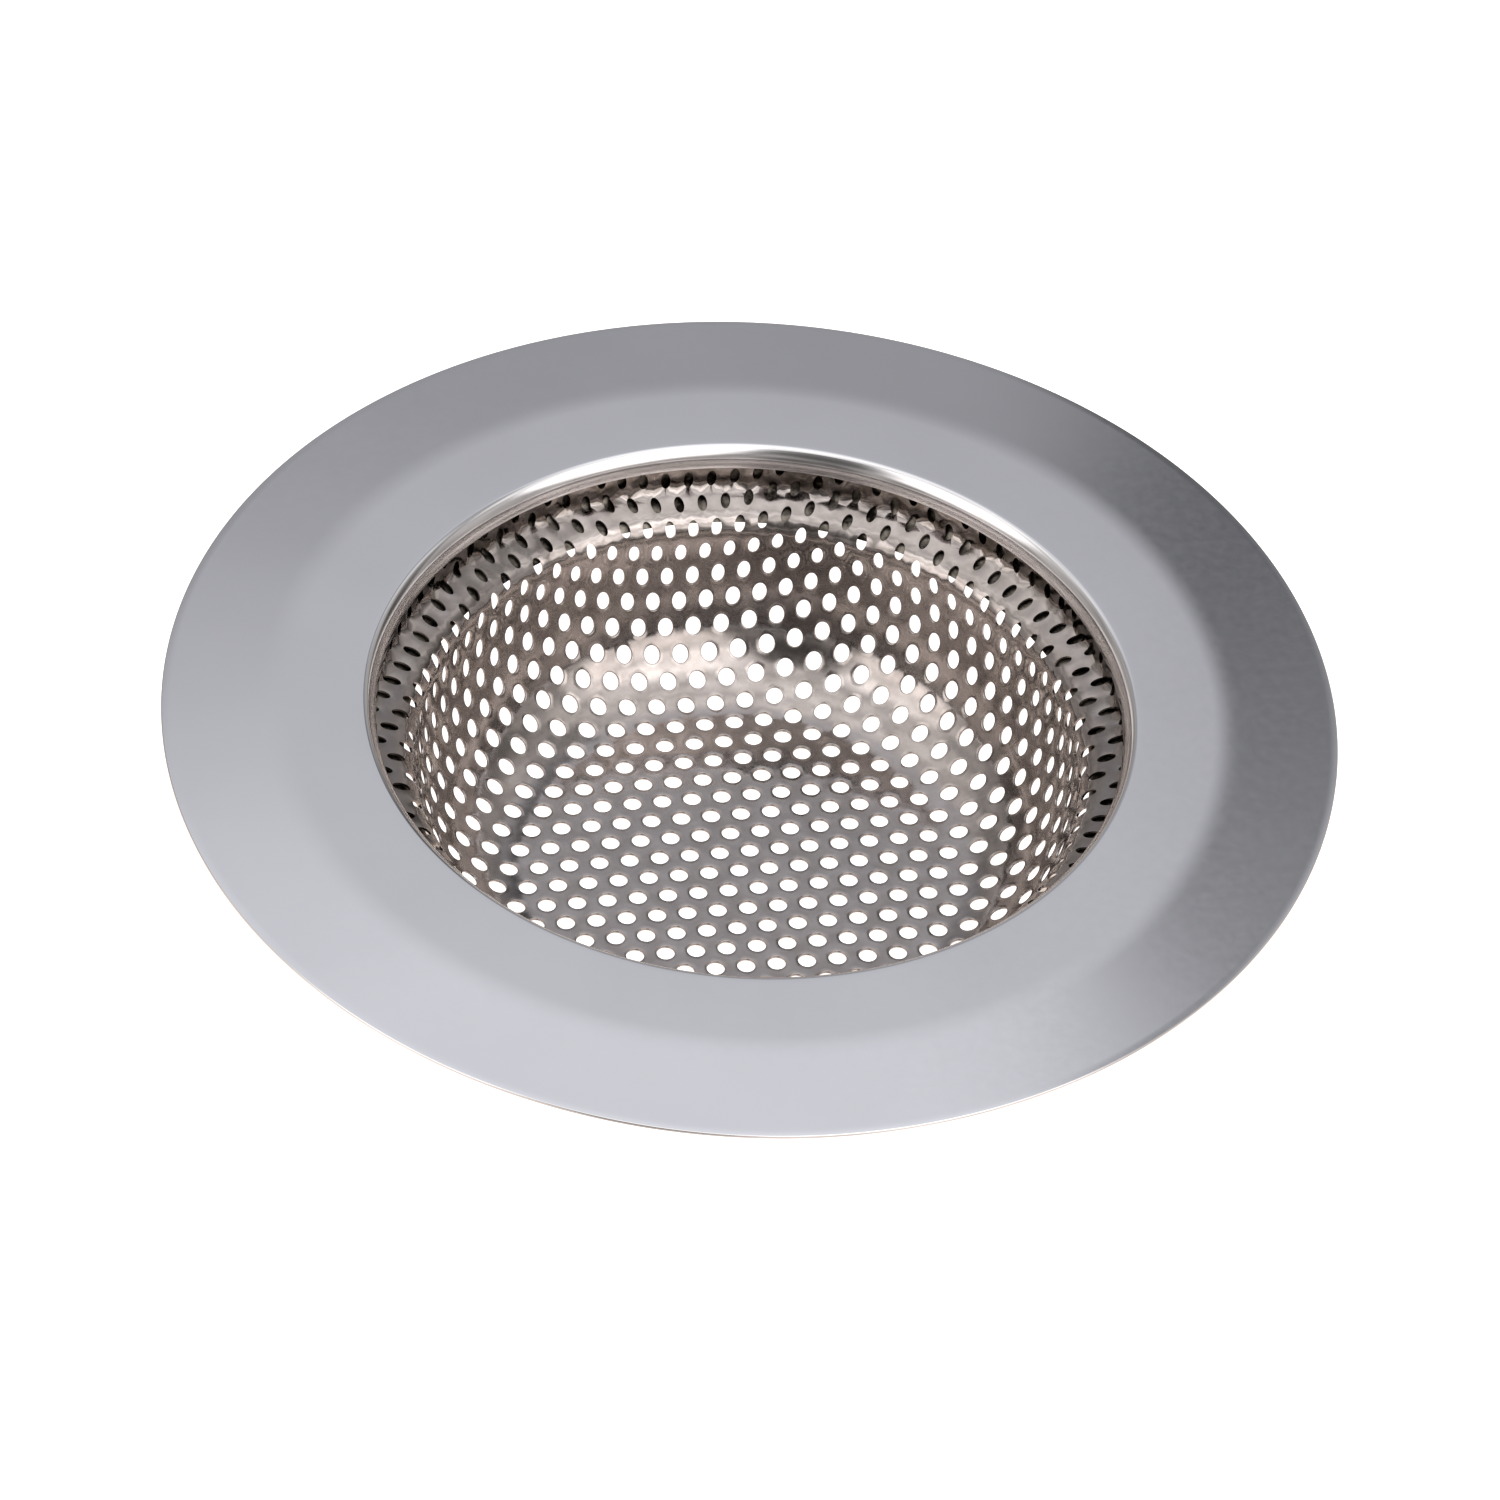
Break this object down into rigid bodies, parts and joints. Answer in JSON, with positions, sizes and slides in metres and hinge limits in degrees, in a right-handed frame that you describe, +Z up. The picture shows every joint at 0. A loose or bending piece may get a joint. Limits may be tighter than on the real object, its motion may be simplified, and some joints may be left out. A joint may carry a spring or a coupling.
{
  "type": "basket strainer",
  "caption": "Round sink strainer: a wide, slightly ridged steel rim rolled over the mouth of a drawn, perforated basket, with a plain backing ring under the rim.",
  "frame": {"origin": "centre of the underside of the basket's floor, the lowest face", "axes": "+Z up along the axis of rotation, towards the rim; +X along a row of holes"},
  "size_m": [0.114, 0.114, 0.0236],
  "materials": {
    "rim_steel": "satin",
    "basket_steel": "bright, slightly mottled",
    "ring_steel": "satin"
  },
  "bodies": {
    "root": {"rim": "rim_steel", "perforated_basket": "basket_steel", "backing_ring": "ring_steel"}
  },
  "joints": []
}
